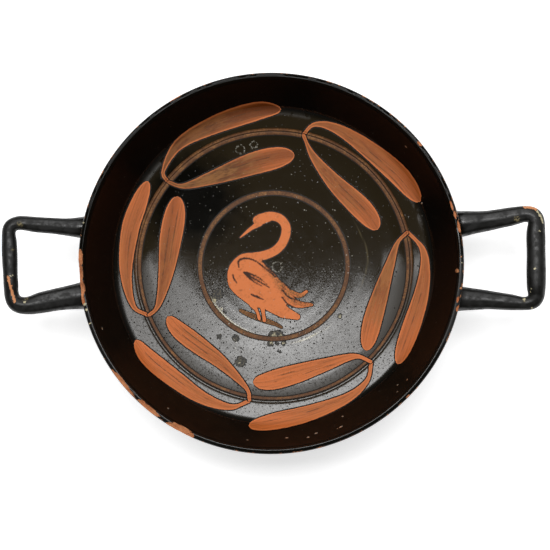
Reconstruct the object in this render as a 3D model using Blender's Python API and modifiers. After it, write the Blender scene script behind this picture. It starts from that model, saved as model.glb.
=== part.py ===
"""Greek kylix: a low, wide drinking cup of fired clay with an inset lip and two level handles.

The potter turned the bowl and its ring foot as one, and joined the handles to it before firing,
so the cup is one solid. Metres, +Z up. The bowl's axis is Z, the foot stands on Z = 0, and the
handles point along -X and +X.
"""

import math

import bmesh
import bpy
from mathutils import Vector

NAME = "kylix"
TURNED_SIDES = 72
MERGE = 0.00002

# Bowl, seen in section: a shallow floor that curls up at a small step, a ledge and a steep lip
RIM_RADIUS = 0.0950
RIM_HEIGHT = 0.0545
RIM_STRETCH = 0.0055
BOWL_DEPTH = 0.0405
FLOOR_RISE = 0.0036
CURL_WIDTH = 0.0080
CURL_RISE = 0.0013
STEP_RADIUS = 0.0690
STEP_DEPTH = 0.0013
STEP_WIDTH = 0.0019
BEND_RADIUS = 0.0805
LEDGE_RISE = 0.0014
BEND_ROUND = 0.0024
LIP_THICKNESS = 0.0034
WALL_THICKNESS = 0.0046
FLOOR_THICKNESS = 0.0060
LIP_BELLY = 0.0016

# Outside: the lip is set in behind a low shoulder, and the bowl bulges from there to the foot
SHOULDER_HEIGHT = 0.0310
SHOULDER_OUT = 0.0010
SHOULDER_DROP = 0.0018
BULGE_RADIUS = 0.0912
BULGE_HEIGHT = 0.0088

# Foot: a low turned ring with a groove, hollowed underneath
FOOT_RADIUS = 0.0385
FOOT_REST_WIDTH = 0.0042
FOOT_RING_WIDTH = 0.0095
FOOT_ROUND = 0.0022
FOOT_NECK_RADIUS = 0.0368
FOOT_ROLL = 0.0006
ROLL_PLACE = 0.45
FOOT_GROOVE = 0.0004
GROOVE_PLACE = 0.62
BOSS_RADIUS = 0.0120
BOSS_HEIGHT = 0.0012

# Handles: a thick bar held off the wall by two arms that swell into it
HANDLE_REACH = 0.1312
BAR_HEIGHT = 0.0490
ROOT_HEIGHT = 0.0335
ROOT_FLARE = 0.0016
FLARE_LENGTH = 0.0070
ARM_SWEEP = 1.6
ARM_TAPER = 0.8
CORNER_RADIUS = 0.0052
CORNER_FULLNESS = 0.12
ARM_POINTS = 8
CORNER_POINTS = 5
TUBE_SIDES_SETTING = 4

# Along each handle: how far off the X axis an arm meets the wall and the bar, and its half
# thickness there; the bar's own half thickness, and how far its lower end leans inwards
LEFT_HANDLE = {
    "upper": {"root": 0.0184, "corner": 0.0202, "root_half": 0.0054, "corner_half": 0.0034},
    "lower": {"root": 0.0146, "corner": 0.0209, "root_half": 0.0062, "corner_half": 0.0046},
    "bar_half": 0.0038,
    "lean": 0.0018,
}
RIGHT_HANDLE = {
    "upper": {"root": 0.0187, "corner": 0.0240, "root_half": 0.0060, "corner_half": 0.0038},
    "lower": {"root": 0.0168, "corner": 0.0192, "root_half": 0.0054, "corner_half": 0.0036},
    "bar_half": 0.0044,
    "lean": 0.0000,
}

# Chips out of the lip: place round the rim in degrees, length along it, loss from the edge inwards
# and loss from the top down
CHIPS = {
    "chip_left": {"angle": 183.5, "length": 0.0250, "inwards": 0.0024, "down": 0.0052},
    "chip_front_left": {"angle": 242.0, "length": 0.0170, "inwards": 0.0046, "down": 0.0024},
}

# Looks
GLOSS_COLOUR = (0.012, 0.011, 0.010, 1.0)
GLOSS_ROUGHNESS = 0.28


def clear_scene():
    for thing in list(bpy.data.objects):
        bpy.data.objects.remove(thing)


def new_collection(name):
    collection = bpy.data.collections.new(name)
    bpy.context.scene.collection.children.link(collection)
    return collection


def black_gloss():
    material = bpy.data.materials.new("black_gloss")
    material.use_nodes = True
    shader = material.node_tree.nodes["Principled BSDF"]
    shader.inputs["Base Color"].default_value = GLOSS_COLOUR
    shader.inputs["Roughness"].default_value = GLOSS_ROUGHNESS
    shader.inputs["Metallic"].default_value = 0.0
    material.diffuse_color = GLOSS_COLOUR
    return material


def mix(start, end, share):
    return start + (end - start) * share


def bezier(start, bend, end, count):
    """Points of a curve that leaves start towards bend and arrives at end from bend."""
    points = []
    for i in range(count):
        t = i / (count - 1)
        points.append(start.lerp(bend, t).lerp(bend.lerp(end, t), t))
    return points


def floor_height(radius):
    """Height of the bowl's floor inside the step: a shallow dish that curls up at its edge."""
    into_curl = max(radius - (STEP_RADIUS - CURL_WIDTH), 0) / CURL_WIDTH
    dish = FLOOR_RISE * (radius / STEP_RADIUS) ** 2
    return RIM_HEIGHT - BOWL_DEPTH + dish + CURL_RISE * into_curl ** 2


def floor_points(dish_count, curl_count):
    """The floor from the axis over the dish and its curled edge to the foot of the step."""
    curl = STEP_RADIUS - CURL_WIDTH
    radii = [curl * i / dish_count for i in range(dish_count)]
    radii += [curl + CURL_WIDTH * i / (curl_count - 1) for i in range(curl_count)]
    return [Vector((radius, floor_height(radius))) for radius in radii]


def step_top():
    return Vector((STEP_RADIUS + STEP_WIDTH, floor_height(STEP_RADIUS) + STEP_DEPTH))


def bend_point():
    top = step_top()
    return Vector((BEND_RADIUS, top.y + LEDGE_RISE))


def lip_inner_point():
    return Vector((RIM_RADIUS - LIP_THICKNESS, RIM_HEIGHT - LIP_THICKNESS / 2))


def lip_middle():
    """The point that the steep lip's section bends towards, outside a straight line."""
    bend = bend_point()
    edge = lip_inner_point()
    along = (edge - bend).normalized()
    return (bend + edge) / 2 + Vector((along.y, -along.x)) * LIP_BELLY * 2


def ledge_points(count):
    """The almost level ledge from the step to where the bend's rounding starts."""
    top = step_top()
    bend = bend_point()
    end = bend + (top - bend).normalized() * BEND_ROUND
    return [top.lerp(end, i / (count - 1)) for i in range(count)]


def wall_points(bend_count, count):
    """The rounded bend, then the steep lip up to its inner edge, swelling slightly outwards."""
    bend = bend_point()
    start = bend + (step_top() - bend).normalized() * BEND_ROUND
    rise = bend + (lip_middle() - bend).normalized() * BEND_ROUND
    rounding = bezier(start, bend, rise, bend_count)[1:-1]
    return rounding + bezier(rise, lip_middle(), lip_inner_point(), count)


def lip_points(count):
    """The rounded top of the lip, from its inner edge over to its outer edge."""
    half = LIP_THICKNESS / 2
    centre = Vector((RIM_RADIUS - half, RIM_HEIGHT - half))
    angles = [math.pi * (1 - i / (count + 1)) for i in range(1, count + 2)]
    return [centre + half * Vector((math.cos(a), math.sin(a))) for a in angles]


def thickness(point):
    """Wall thickness: thin at the lip, full at the bend, thicker still under the floor."""
    bend = bend_point()
    if point.x > bend.x:
        share = (point.y - bend.y) / (lip_inner_point().y - bend.y)
        return mix(WALL_THICKNESS, LIP_THICKNESS, share)
    return mix(FLOOR_THICKNESS, WALL_THICKNESS, point.x / bend.x)


def offset_outwards(points, share):
    """Points off the back of an inner surface, by a share of the wall's thickness."""
    moved = []
    for i, point in enumerate(points):
        before = points[max(i - 1, 0)]
        after = points[min(i + 1, len(points) - 1)]
        along = (after - before).normalized()
        outwards = Vector((along.y, -along.x))
        moved.append(point + outwards * thickness(point) * share)
    return moved


def outside_points(lip_count, bowl_count):
    """The outer surface from the lip over its shoulder and the bulge to the neck of the foot."""
    lip = list(reversed(offset_outwards(wall_points(2, lip_count), 1.0)))[1:]
    lip = [point for point in lip if point.y > SHOULDER_HEIGHT]
    shoulder = Vector((lip[-1].x + SHOULDER_OUT, lip[-1].y - SHOULDER_DROP))
    bulge = Vector((BULGE_RADIUS, BULGE_HEIGHT))
    neck = Vector((FOOT_NECK_RADIUS + FOOT_ROUND, neck_height()))
    return lip + bezier(shoulder, bulge, neck, bowl_count)


def neck_height():
    """Where the bowl's outer surface stands over the neck of the foot."""
    return floor_height(FOOT_NECK_RADIUS) - mix(
        FLOOR_THICKNESS, WALL_THICKNESS, FOOT_NECK_RADIUS / BEND_RADIUS)


def foot_points():
    """The foot's outer side: an upper roll, a groove and a lower roll, then the resting face."""
    top = neck_height()
    groove = mix(0, top, GROOVE_PLACE)
    outer_rest = FOOT_RADIUS - FOOT_ROUND
    side = [
        Vector((FOOT_NECK_RADIUS, top - FOOT_ROLL)),
        Vector((FOOT_NECK_RADIUS + FOOT_ROLL, mix(groove, top, ROLL_PLACE))),
        Vector((FOOT_NECK_RADIUS - FOOT_GROOVE, groove)),
        Vector((FOOT_RADIUS - FOOT_ROLL, groove - FOOT_ROLL)),
    ]
    for i in range(4):
        angle = math.radians(30 - 40 * i)
        side.append(Vector((outer_rest + FOOT_ROUND * math.cos(angle),
                            FOOT_ROUND * (1 + math.sin(angle)))))
    side.append(Vector((outer_rest - FOOT_REST_WIDTH, 0)))
    return side


def underside_points():
    """The hollow under the foot, from the ring in to a low boss on the axis."""
    ring_inside = FOOT_RADIUS - FOOT_RING_WIDTH
    ceiling = [Vector((radius, floor_height(radius) - FLOOR_THICKNESS))
               for radius in (ring_inside - FOOT_ROUND, mix(BOSS_RADIUS, ring_inside, 0.5),
                              BOSS_RADIUS)]
    side = Vector((ring_inside, ceiling[0].y - FOOT_ROUND))
    boss = [Vector((BOSS_RADIUS - BOSS_HEIGHT, ceiling[-1].y - BOSS_HEIGHT)),
            Vector((0, floor_height(0) - FLOOR_THICKNESS - BOSS_HEIGHT))]
    return [side] + ceiling + boss


def cup_section():
    inside = floor_points(6, 5) + ledge_points(4) + wall_points(4, 7)
    outside = lip_points(5) + outside_points(8, 10)
    return inside + outside + foot_points() + underside_points()


def turned(name, section, collection):
    """A body of revolution about Z from a section that runs outwards, then down its outer side."""
    mesh = bpy.data.meshes.new(name)
    edges = [(i, i + 1) for i in range(len(section) - 1)]
    mesh.from_pydata([(point.x, 0, point.y) for point in section], edges, [])
    body = bpy.data.objects.new(name, mesh)
    collection.objects.link(body)
    screw = body.modifiers.new("turning", "SCREW")
    screw.steps = TURNED_SIDES
    screw.render_steps = TURNED_SIDES
    screw.use_merge_vertices = True
    screw.merge_threshold = MERGE
    screw.use_smooth_shade = True
    return body


def hide_as_cutter(body):
    body.hide_render = True
    body.display_type = "WIRE"


def handle_core(collection):
    """The bowl's inside half of the wall and all that it holds, which trims the handles' ends."""
    inside = floor_points(5, 2)[:-1] + ledge_points(3) + wall_points(4, 6)
    middle = offset_outwards(inside, 0.5)
    lid = Vector((0, RIM_HEIGHT + LIP_THICKNESS))
    side = Vector((middle[-1].x, lid.y))
    section = [lid, side] + list(reversed(middle))
    section[-1] = Vector((0, section[-1].y))
    core = turned("handle_core", section, collection)
    hide_as_cutter(core)
    return core


def arm_points(side, arm, sign, reach):
    """One arm's centre line and half thickness, from inside the wall out to its corner."""
    start = Vector((side * (BEND_RADIUS - arm["root_half"]), sign * arm["root"], ROOT_HEIGHT))
    end = Vector((side * (reach - CORNER_RADIUS), sign * arm["corner"], BAR_HEIGHT))
    wall = RIM_RADIUS - LIP_THICKNESS
    points = []
    for i in range(ARM_POINTS):
        share = i / (ARM_POINTS - 1)
        x = mix(start.x, end.x, share)
        y = mix(start.y, end.y, share ** ARM_SWEEP)
        z = mix(start.z, end.z, math.sin(share * math.pi / 2))
        half = mix(arm["root_half"], arm["corner_half"], share ** ARM_TAPER)
        half += ROOT_FLARE * math.exp(-max(abs(x) - wall, 0) / FLARE_LENGTH)
        points.append((Vector((x, y, z)), half))
    return points


def corner_points(before, corner, after, half_before, half_after):
    """A round corner of the centre line, between two straight runs."""
    incoming = (before - corner).normalized()
    outgoing = (after - corner).normalized()
    turn = incoming.angle(outgoing)
    trim = CORNER_RADIUS / math.tan(turn / 2)
    start = corner + incoming * trim
    end = corner + outgoing * trim
    centre_line = bezier(start, corner.lerp((start + end) / 2, CORNER_FULLNESS), end, CORNER_POINTS)
    return [(point, mix(half_before, half_after, i / (CORNER_POINTS - 1)))
            for i, point in enumerate(centre_line)]


def handle_centre_line(side, shape):
    """Points and half thickness from the upper root, round the bar, to the lower root."""
    upper = arm_points(side, shape["upper"], 1, HANDLE_REACH)
    lower = arm_points(side, shape["lower"], -1, HANDLE_REACH - shape["lean"])
    upper_corner = Vector((side * HANDLE_REACH, shape["upper"]["corner"], BAR_HEIGHT))
    lower_corner = Vector((side * (HANDLE_REACH - shape["lean"]),
                           -shape["lower"]["corner"], BAR_HEIGHT))
    bar = shape["bar_half"]
    first = corner_points(upper[-2][0], upper_corner, lower_corner, upper[-1][1], bar)
    second = corner_points(upper_corner, lower_corner, lower[-2][0], bar, lower[-1][1])
    middle = [((upper_corner + lower_corner) / 2, bar)]
    return upper[:-1] + first + middle + second + list(reversed(lower[:-1]))


def tube(name, centre_line, collection):
    """A closed mesh swept round a centre line, thick where the centre line says."""
    curve = bpy.data.curves.new(name, "CURVE")
    curve.dimensions = "3D"
    curve.bevel_depth = 1.0
    curve.bevel_resolution = TUBE_SIDES_SETTING
    curve.use_fill_caps = True
    spline = curve.splines.new("POLY")
    spline.points.add(len(centre_line) - 1)
    for point, (place, half) in zip(spline.points, centre_line):
        point.co = (*place, 1)
        point.radius = half
    guide = bpy.data.objects.new(name + "_guide", curve)
    collection.objects.link(guide)
    bpy.context.view_layer.update()
    evaluated = guide.evaluated_get(bpy.context.evaluated_depsgraph_get())
    mesh = bpy.data.meshes.new_from_object(evaluated)
    welded = bmesh.new()
    welded.from_mesh(mesh)
    bmesh.ops.remove_doubles(welded, verts=welded.verts, dist=MERGE)
    bmesh.ops.recalc_face_normals(welded, faces=welded.faces)
    welded.to_mesh(mesh)
    welded.free()
    mesh.shade_smooth()
    body = bpy.data.objects.new(name, mesh)
    body.matrix_world = guide.matrix_world
    collection.objects.link(body)
    bpy.data.objects.remove(guide)
    bpy.data.curves.remove(curve)
    return body


def boolean(body, other, operation):
    cut = body.modifiers.new(other.name, "BOOLEAN")
    cut.operation = operation
    cut.solver = "EXACT"
    cut.object = other


def handle(name, side, shape, core, collection):
    """One handle as a tube whose ends stop inside the wall."""
    body = tube(name, handle_centre_line(side, shape), collection)
    boolean(body, core, "DIFFERENCE")
    hide_as_cutter(body)
    return body


def chip(name, size, collection):
    """The lump of clay that is missing at a chip in the lip."""
    bpy.ops.mesh.primitive_uv_sphere_add(segments=16, ring_count=10, radius=1)
    body = bpy.context.object
    body.name = name
    angle = math.radians(size["angle"])
    body.location = (RIM_RADIUS * math.cos(angle), RIM_RADIUS * math.sin(angle), RIM_HEIGHT)
    body.rotation_euler = (0, 0, angle)
    body.scale = (size["inwards"], size["length"] / 2, size["down"])
    for owner in list(body.users_collection):
        owner.objects.unlink(body)
    collection.objects.link(body)
    hide_as_cutter(body)
    return body


def cup(collection, cutters):
    body = turned(NAME, cup_section(), collection)
    body.scale = (1 + RIM_STRETCH, 1 - RIM_STRETCH, 1)
    core = handle_core(cutters)
    core.scale = body.scale
    boolean(body, handle("handle_left", -1, LEFT_HANDLE, core, cutters), "UNION")
    boolean(body, handle("handle_right", 1, RIGHT_HANDLE, core, cutters), "UNION")
    for name, size in CHIPS.items():
        boolean(body, chip(name, size, cutters), "DIFFERENCE")
    body.data.materials.append(black_gloss())
    return body


def main():
    clear_scene()
    parts = new_collection(NAME)
    cutters = new_collection("cutters")
    cup(parts, cutters)


main()
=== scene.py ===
"""Greek kylix: the fired cup with its black gloss, reserved ornament, wear and chips.

Lengths in this script are millimetres unless a name or comment says otherwise; MM turns them
into metres where a mesh, light or camera is made. The bowl's axis is Z, the handles point along
-X and +X, and +Y is up in the photograph, which looks down into the bowl.
"""

import math

import bmesh
import bpy
import numpy as np
from mathutils import Matrix, Vector, noise


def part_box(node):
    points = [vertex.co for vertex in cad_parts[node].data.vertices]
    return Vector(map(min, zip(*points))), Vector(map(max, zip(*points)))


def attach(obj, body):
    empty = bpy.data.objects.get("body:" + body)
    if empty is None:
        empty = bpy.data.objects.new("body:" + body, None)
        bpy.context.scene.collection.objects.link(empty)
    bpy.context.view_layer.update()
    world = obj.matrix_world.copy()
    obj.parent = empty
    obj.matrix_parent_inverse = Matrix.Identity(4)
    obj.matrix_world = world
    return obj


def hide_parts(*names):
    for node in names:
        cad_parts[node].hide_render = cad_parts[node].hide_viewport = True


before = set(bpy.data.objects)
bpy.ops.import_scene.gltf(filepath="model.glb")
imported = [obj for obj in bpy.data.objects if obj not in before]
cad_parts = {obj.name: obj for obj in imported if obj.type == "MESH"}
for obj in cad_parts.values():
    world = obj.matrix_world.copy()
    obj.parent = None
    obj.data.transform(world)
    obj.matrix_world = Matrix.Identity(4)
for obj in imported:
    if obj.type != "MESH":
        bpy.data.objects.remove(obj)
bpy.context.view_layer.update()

MM = 0.001
low, high = (Vector(corner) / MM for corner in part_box("kylix"))

# Bowl, seen in section: a shallow floor that curls up at a small step, a ledge and a steep lip
RIM_STRETCH = 0.0055
RIM_RADIUS = (high.y - low.y) / 2 / (1 - RIM_STRETCH)
RIM_HEIGHT = high.z
BOWL_DEPTH = 40.5
FLOOR_RISE = 3.6
CURL_WIDTH = 8.0
CURL_RISE = 1.3
STEP_RADIUS = 69.0
STEP_DEPTH = 1.3
STEP_WIDTH = 1.9
BEND_RADIUS = 80.5
LEDGE_RISE = 1.4
BEND_ROUND = 2.4
LIP_THICKNESS = 3.4
LIP_BELLY = 1.6
LIP_ARRIS = 0.5
LIP_OUTER_ROUND = 0.9
LIP_FALL = 0.22
LIP_SIDE = 1.5
ARRIS_INSET = 0.85
TURNING_DEPTH = 0.004
TURNING_PITCH = 6.5
HAND_SEED = 1

# The step's own section, as outward and upward places from its foot: a groove and two risers
STEP_SECTION = ((0.0, 0.0), (0.2, -0.08), (0.4, 0.10), (0.52, 0.48), (0.64, 0.60), (1.02, 0.655),
                (1.42, 0.71), (1.54, 0.86), (1.67, 1.16), (1.90, 1.30))

# Outside: lip, shoulder, bulge, foot
SHOULDER = (91.96, 31.9)
SHOULDER_NECK = (90.96, 33.7)
LIP_OUTSIDE_MIDDLE = (93.5, 43.5)
BULGE = (91.2, 8.8)
FOOT_SECTION = ((36.8, 9.0), (37.4, 7.64), (36.5, 5.99), (38.0, 5.39), (38.21, 3.3), (38.47, 1.82),
                (37.71, 0.51), (36.3, 0.0), (32.1, 0.0), (29.0, 6.34), (26.8, 8.54), (20.5, 8.32),
                (12.0, 8.11), (10.8, 6.91), (0.0, 6.8))
BOWL_NECK = (39.0, 9.66)

# The body's mesh: the floor's bands, as start and end radius, spacing of rings and points round, and
# the points round in the other rings
FLOOR_BANDS = ((0.0, 4.8, 0.6, 72), (4.8, 9.6, 0.55, 144), (9.6, 19.2, 0.5, 288),
               (19.2, 39.2, 0.55, 576), (39.2, STEP_RADIUS, 1.0, 576))
FINE_ROUND = 576
MIDDLE_ROUND = 288
COARSE_ROUND = 144
FOOT_ROUND = 72

# Handles: how far off the X axis each arm meets the wall and the bar, and its half thickness
HANDLE_REACH = 131.2
BAR_HEIGHT = 49.0
BAR_ARCH = 1.4
ROOT_HEIGHT = 33.5
ROOT_FLARE = 1.6
FLARE_LENGTH = 7.0
ARM_SWEEP = 1.6
ARM_TAPER = 0.8
LEFT_HANDLE = {
    "upper": {"root": 18.4, "corner": 20.2, "root_half": 7.2, "corner_half": 3.9, "round": 5.6,
              "waist": 1.0, "dip": 0.5},
    "lower": {"root": 14.1, "corner": 20.9, "root_half": 6.4, "corner_half": 4.8, "round": 7.5,
              "waist": -0.3, "dip": 0.0},
    "bar_half": 3.8,
    "lean": 1.8,
}
RIGHT_HANDLE = {
    "upper": {"root": 18.7, "corner": 24.2, "root_half": 6.8, "corner_half": 4.2, "round": 5.0,
              "waist": 0.0, "dip": 0.3},
    "lower": {"root": 16.8, "corner": 20.0, "root_half": 5.7, "corner_half": 3.6, "round": 5.6,
              "waist": -0.4, "dip": 0.0},
    "bar_half": 4.7,
    "lean": 0.0,
}
# Half of an arm's section from its ridge round to its underside, as shares of its half thickness
ARM_SECTION = ((0.0, 0.96), (0.25, 0.90), (0.50, 0.83), (0.74, 0.76), (0.93, 0.44), (1.0, 0.02),
               (0.93, -0.42), (0.70, -0.75), (0.36, -0.92), (0.0, -0.96))

# Chips out of the lip: place round the rim in degrees, length along it, where its middle lies off
# the axis and over the lip's top, and how far it bites inwards and down
CHIPS = {
    "left_flake": (178.6, 10.0, 95.0, 0.3, 2.5, 2.0),
    "left_edge": (183.4, 16.0, 95.3, -0.4, 2.7, 3.0),
    "left_deep": (187.4, 11.0, 95.2, -0.2, 2.8, 3.0),
    "left_tail": (191.0, 6.0, 95.0, 0.2, 1.7, 1.6),
    "front_flake": (219.5, 25.0, 94.6, 0.5, 1.8, 1.3),
    "front_flake_end": (230.5, 17.0, 94.4, 0.5, 2.0, 1.4),
    "front_notch": (227.8, 3.4, 93.9, 0.5, 1.6, 1.6),
    "front_large": (242.0, 16.0, 94.6, 0.3, 3.5, 2.4),
    "right_top": (10.8, 7.5, 94.3, 0.4, 1.0, 1.2),
    "right_top_middle": (14.6, 4.5, 93.6, 0.3, 0.7, 1.0),
    "right_top_end": (17.6, 5.5, 93.3, 0.2, 0.6, 0.9),
    "right_low": (348.7, 3.4, 93.6, 0.2, 0.7, 1.1),
    "right_low_end": (346.0, 3.6, 94.6, 0.1, 0.9, 1.3),
    "back_low": (119.5, 12.0, 95.1, 0.0, 0.8, 1.0),
    "front_right": (315.6, 4.0, 94.8, 0.3, 0.9, 1.0),
    "back_right": (38.8, 3.6, 94.3, 0.3, 1.0, 1.1),
}

# Leaves, reserved in the clay colour: a line from the stem's joint to the tip, full width, how
# blunt the tip is (more is blunter), and its look: how dull the clay is by the stem, how much it is
# darkened as painted shade (most for the leaves at the back) and how far off the leaf's middle a
# dark brush stroke runs
LEAVES = {
    "nw_outer": (((-54.1, 43.0), (-56.4, 48.5), (-48.3, 62.0), (-29.8, 71.9), (-8.5, 78.6), (4.0, 79.8)),
                 9.4, 2.6, (0.45, 1.15, 0.6)),
    "nw_inner": (((-54.1, 43.0), (-46.3, 41.0), (-31.7, 45.2), (-11.9, 52.1), (1.5, 55.5), (10.6, 56.9)),
                 11.6, 4.5, (0.9, 0.7, 1.0)),
    "ne_outer": (((15.3, 66.9), (21.0, 72.0), (31.5, 70.2), (46.0, 61.2), (63.2, 46.5), (74.8, 32.2)),
                 10.0, 3.0, (0.35, 0.45, -0.6)),
    "ne_inner": (((15.3, 66.9), (20.3, 56.3), (31.0, 42.9), (43.8, 30.5), (50.0, 23.4), (53.2, 18.4)),
                 10.8, 4.5, (0.45, 0.45, 0.9)),
    "e_inner": (((68.5, 17.0), (63.4, 11.5), (59.6, 0.7), (55.5, -12.0), (50.6, -28.5), (47.3, -43.4)),
                 9.4, 4.5, (0.7, 0.15, -2.6)),
    "e_outer": (((68.5, 17.0), (75.8, 8.7), (77.3, -1.5), (75.2, -15.5), (70.0, -32.0), (63.3, -50.2)),
                 8.9, 3.2, (0.3, 0.3, -0.3)),
    "se_inner": (((50.0, -49.3), (41.5, -46.4), (25.8, -50.9), (11.0, -55.5), (-2.6, -59.1), (-10.4, -59.6)),
                 9.9, 4.5, (0.05, 0.0, 1.2)),
    "se_outer": (((50.0, -49.3), (47.7, -58.9), (37.6, -67.6), (18.5, -75.2), (-0.5, -79.6), (-12.4, -81.6)),
                 8.4, 3.4, (0.2, 0.1, -0.8)),
    "sw_inner": (((-12.1, -69.1), (-14.0, -62.5), (-26.5, -49.9), (-37.3, -41.7), (-48.6, -33.0),
                  (-54.4, -26.2)), 9.0, 3.6, (0.3, 0.1, 0.8)),
    "sw_outer": (((-12.1, -69.1), (-22.0, -72.2), (-36.5, -67.4), (-52.7, -56.2), (-64.5, -46.2),
                  (-70.4, -38.2)), 8.8, 2.1, (0.2, 0.05, -0.5)),
    "w_inner": (((-64.0, -25.6), (-59.4, -20.5), (-55.6, -5.0), (-53.0, 13.8), (-50.5, 28.0), (-49.4, 35.6)),
                 11.4, 3.6, (0.35, 0.55, 1.5)),
    "w_outer": (((-64.0, -25.6), (-71.8, -20.4), (-75.5, -3.0), (-73.4, 18.0), (-68.8, 32.1), (-64.2, 43.2)),
                 8.9, 2.8, (0.25, 0.35, -0.7)),
}
# The least half width of a leaf's stem, how fast a leaf swells along its line, and the margin that
# stands for places with no paint near them
STEM_HALF = 0.85
LEAF_SWELL = 0.9
OUTSIDE_PAINT = -30.0

# The bird: a generic swan from a rounded body, a curved neck, a small head and three tail feathers.
# A stroke is a line and its half widths from end to end
BIRD_BODY = ((-16.3, 6.1), (-21.0, 2.5), (-23.3, -1.6), (-23.8, -6.0), (-23.0, -10.4), (-19.7, -14.5),
             (-15.8, -17.6), (-11.2, -20.6), (-4.0, -22.2), (3.2, -24.5), (6.5, -20.0), (8.0, -15.0),
             (7.1, -10.4), (3.2, -7.3), (-0.9, -2.1), (-6.3, 3.0), (-9.7, 6.4))
BIRD_STROKES = {
    "neck": (((-7.0, 24.3), (-1.9, 25.6), (3.4, 24.2), (6.4, 19.5), (5.0, 12.8), (1.0, 8.0), (-5.0, 5.4),
              (-12.0, 4.0)),
             (2.3, 2.2, 2.2, 2.35, 2.3, 2.2, 2.3, 2.6)),
    "head": (((-8.3, 23.5), (-6.4, 24.0), (-3.0, 25.0)), (2.35, 2.6, 2.3)),
    "beak": (((-7.4, 22.0), (-10.0, 20.3), (-12.6, 18.5), (-17.2, 14.6)), (1.7, 1.0, 0.7, 0.25)),
    "low_tail": (((-2.0, -20.5), (6.0, -24.0), (12.0, -26.2)), (2.8, 3.2, 1.5)),
    "mid_tail": (((4.0, -15.0), (12.0, -19.6), (19.5, -20.0)), (3.0, 2.0, 0.7)),
    "high_tail": (((0.0, -8.5), (8.5, -13.6), (13.5, -15.2), (16.8, -13.2)), (2.6, 1.5, 1.3, 0.7)),
    "left_leg": (((-11.0, -20.0), (-8.6, -23.4), (-7.4, -27.2)), (1.4, 0.7, 0.7)),
    "right_leg": (((-5.9, -20.5), (-5.4, -24.0), (-4.8, -28.0)), (1.4, 0.8, 0.9)),
}
BIRD_TWIG = (((-17.0, -23.0), (-12.0, -25.3), (-5.0, -27.9), (0.6, -29.8), (4.0, -31.6)),
             (0.7, 1.15, 1.2, 1.0, 0.5))
BIRD_LINES = {
    "shoulder": (((-17.9, -0.6), (-18.2, 2.4), (-15.6, 3.8), (-12.0, 3.6), (-8.6, 2.0), (-4.0, -1.6),
                  (1.0, -5.8)),
                 (0.3, 0.5, 0.35, 0.3, 0.35, 0.35, 0.3)),
    "chest": (((-21.0, -4.7), (-20.4, -6.8), (-18.9, -8.8)), (0.35, 0.4, 0.2)),
    "dash": (((-11.6, -14.6), (-8.4, -16.0), (-5.4, -17.2)), (0.35, 0.55, 0.2)),
    "fan_top": (((-14.0, -3.4), (-8.0, -6.0), (-3.6, -9.4)), (0.5, 0.34, 0.1)),
    "fan_blot": (((-15.2, -3.4), (-13.6, -4.6), (-11.8, -6.0)), (0.6, 0.95, 0.5)),
    "fan_middle": (((-14.0, -4.4), (-8.6, -7.4), (-2.2, -11.2)), (0.5, 0.4, 0.15)),
    "fan_low": (((-13.4, -5.4), (-10.0, -8.2), (-6.0, -10.4)), (0.5, 0.34, 0.1)),
    "tail_top": (((-5.6, 2.4), (1.4, -5.0), (8.6, -12.0)), (0.5, 0.35, 0.4)),
    "tail_middle": (((4.6, -12.6), (7.8, -16.2), (12.6, -17.6), (18.0, -18.6)), (0.3, 0.4, 0.3, 0.2)),
    "tail_low": (((4.2, -16.0), (7.0, -19.4), (10.6, -21.4)), (0.3, 0.3, 0.2)),
}
BIRD_SHADE = (((-7.0, 3.0), (0.5, -4.6), (6.0, -11.5), (12.5, -16.5), (19.0, -18.5)),
              (0.5, 2.4, 3.2, 4.4, 3.4))

# Reserved rings: on the floor round the bird, and at the foot of the step
TONDO_RING = 37.7
TONDO_RING_HALF = 1.12
STEP_RING = 68.25
STEP_RING_HALF = 0.75

# Losses and deposits: place in plan and radius
PITS = ((-28.7, -14.5, 3.0), (-30.2, -16.0, 2.2), (-19.3, -37.1, 1.9), (-27.8, -36.4, 1.3),
        (-16.7, -49.2, 2.9), (34.0, -25.8, 1.2), (-25.0, -24.0, 0.8), (3.0, -44.0, 0.9),
        (-0.4, -35.8, 2.3), (2.6, -35.4, 2.4), (4.8, -36.4, 1.7), (-1.6, -39.8, 1.6), (1.8, -40.0, 1.0),
        (5.2, -39.6, 1.3))
OCHRE = ((0.2, -36.0, 1.3), (3.2, -36.2, 1.1), (-1.4, -39.8, 0.8), (5.0, -39.6, 0.7),
         (-30.6, -17.8, 1.3), (34.0, -25.8, 0.9), (-26.9, -22.0, 0.9), (-17.6, -49.8, 0.6))
RING_MARKS = ((1.8, -0.5, 2.6), (-17.0, 59.8, 2.2), (-10.1, 62.0, 1.7))
WALL_SPECKS = ((67.3, 58.5, 0.7), (-84.5, -32.4, 0.7), (-51.7, -72.3, 0.6), (7.5, -87.1, 0.6),
               (18.4, -86.6, 0.7), (34.6, -81.4, 0.8), (33.0, -82.2, 0.5), (35.4, -76.6, 0.6),
               (62.9, -60.7, 0.6), (67.7, -57.8, 0.5), (62.7, -63.8, 0.5), (22.3, -84.7, 0.7),
               (75.6, 31.4, 0.6), (-12.0, -88.0, 0.5))

# A brown stain by the east leaves, and pale lines inside and outside the ring round the bird:
# a painted highlight along the ring's edges on the lit front side
STAIN = (((40.7, 23.4), (44.3, 16.7), (47.4, 9.5), (48.1, 1.8), (46.3, -6.4), (43.7, -13.0)),
         (0.2, 0.35, 0.4, 0.45, 0.4, 0.3))
GLEAMS = {
    "inside": (tuple((36.0 * math.cos(turn), 36.0 * math.sin(turn))
                     for turn in np.radians(np.arange(-154, -100, 8))),
               (0.3, 0.6, 0.6, 0.5, 0.3)),
    "outside": (((8.4, -39.8), (14.5, -38.2), (21.2, -35.3), (27.3, -32.0), (30.9, -29.4)),
                (0.4, 0.6, 0.6, 0.4, 0.2)),
}
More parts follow.
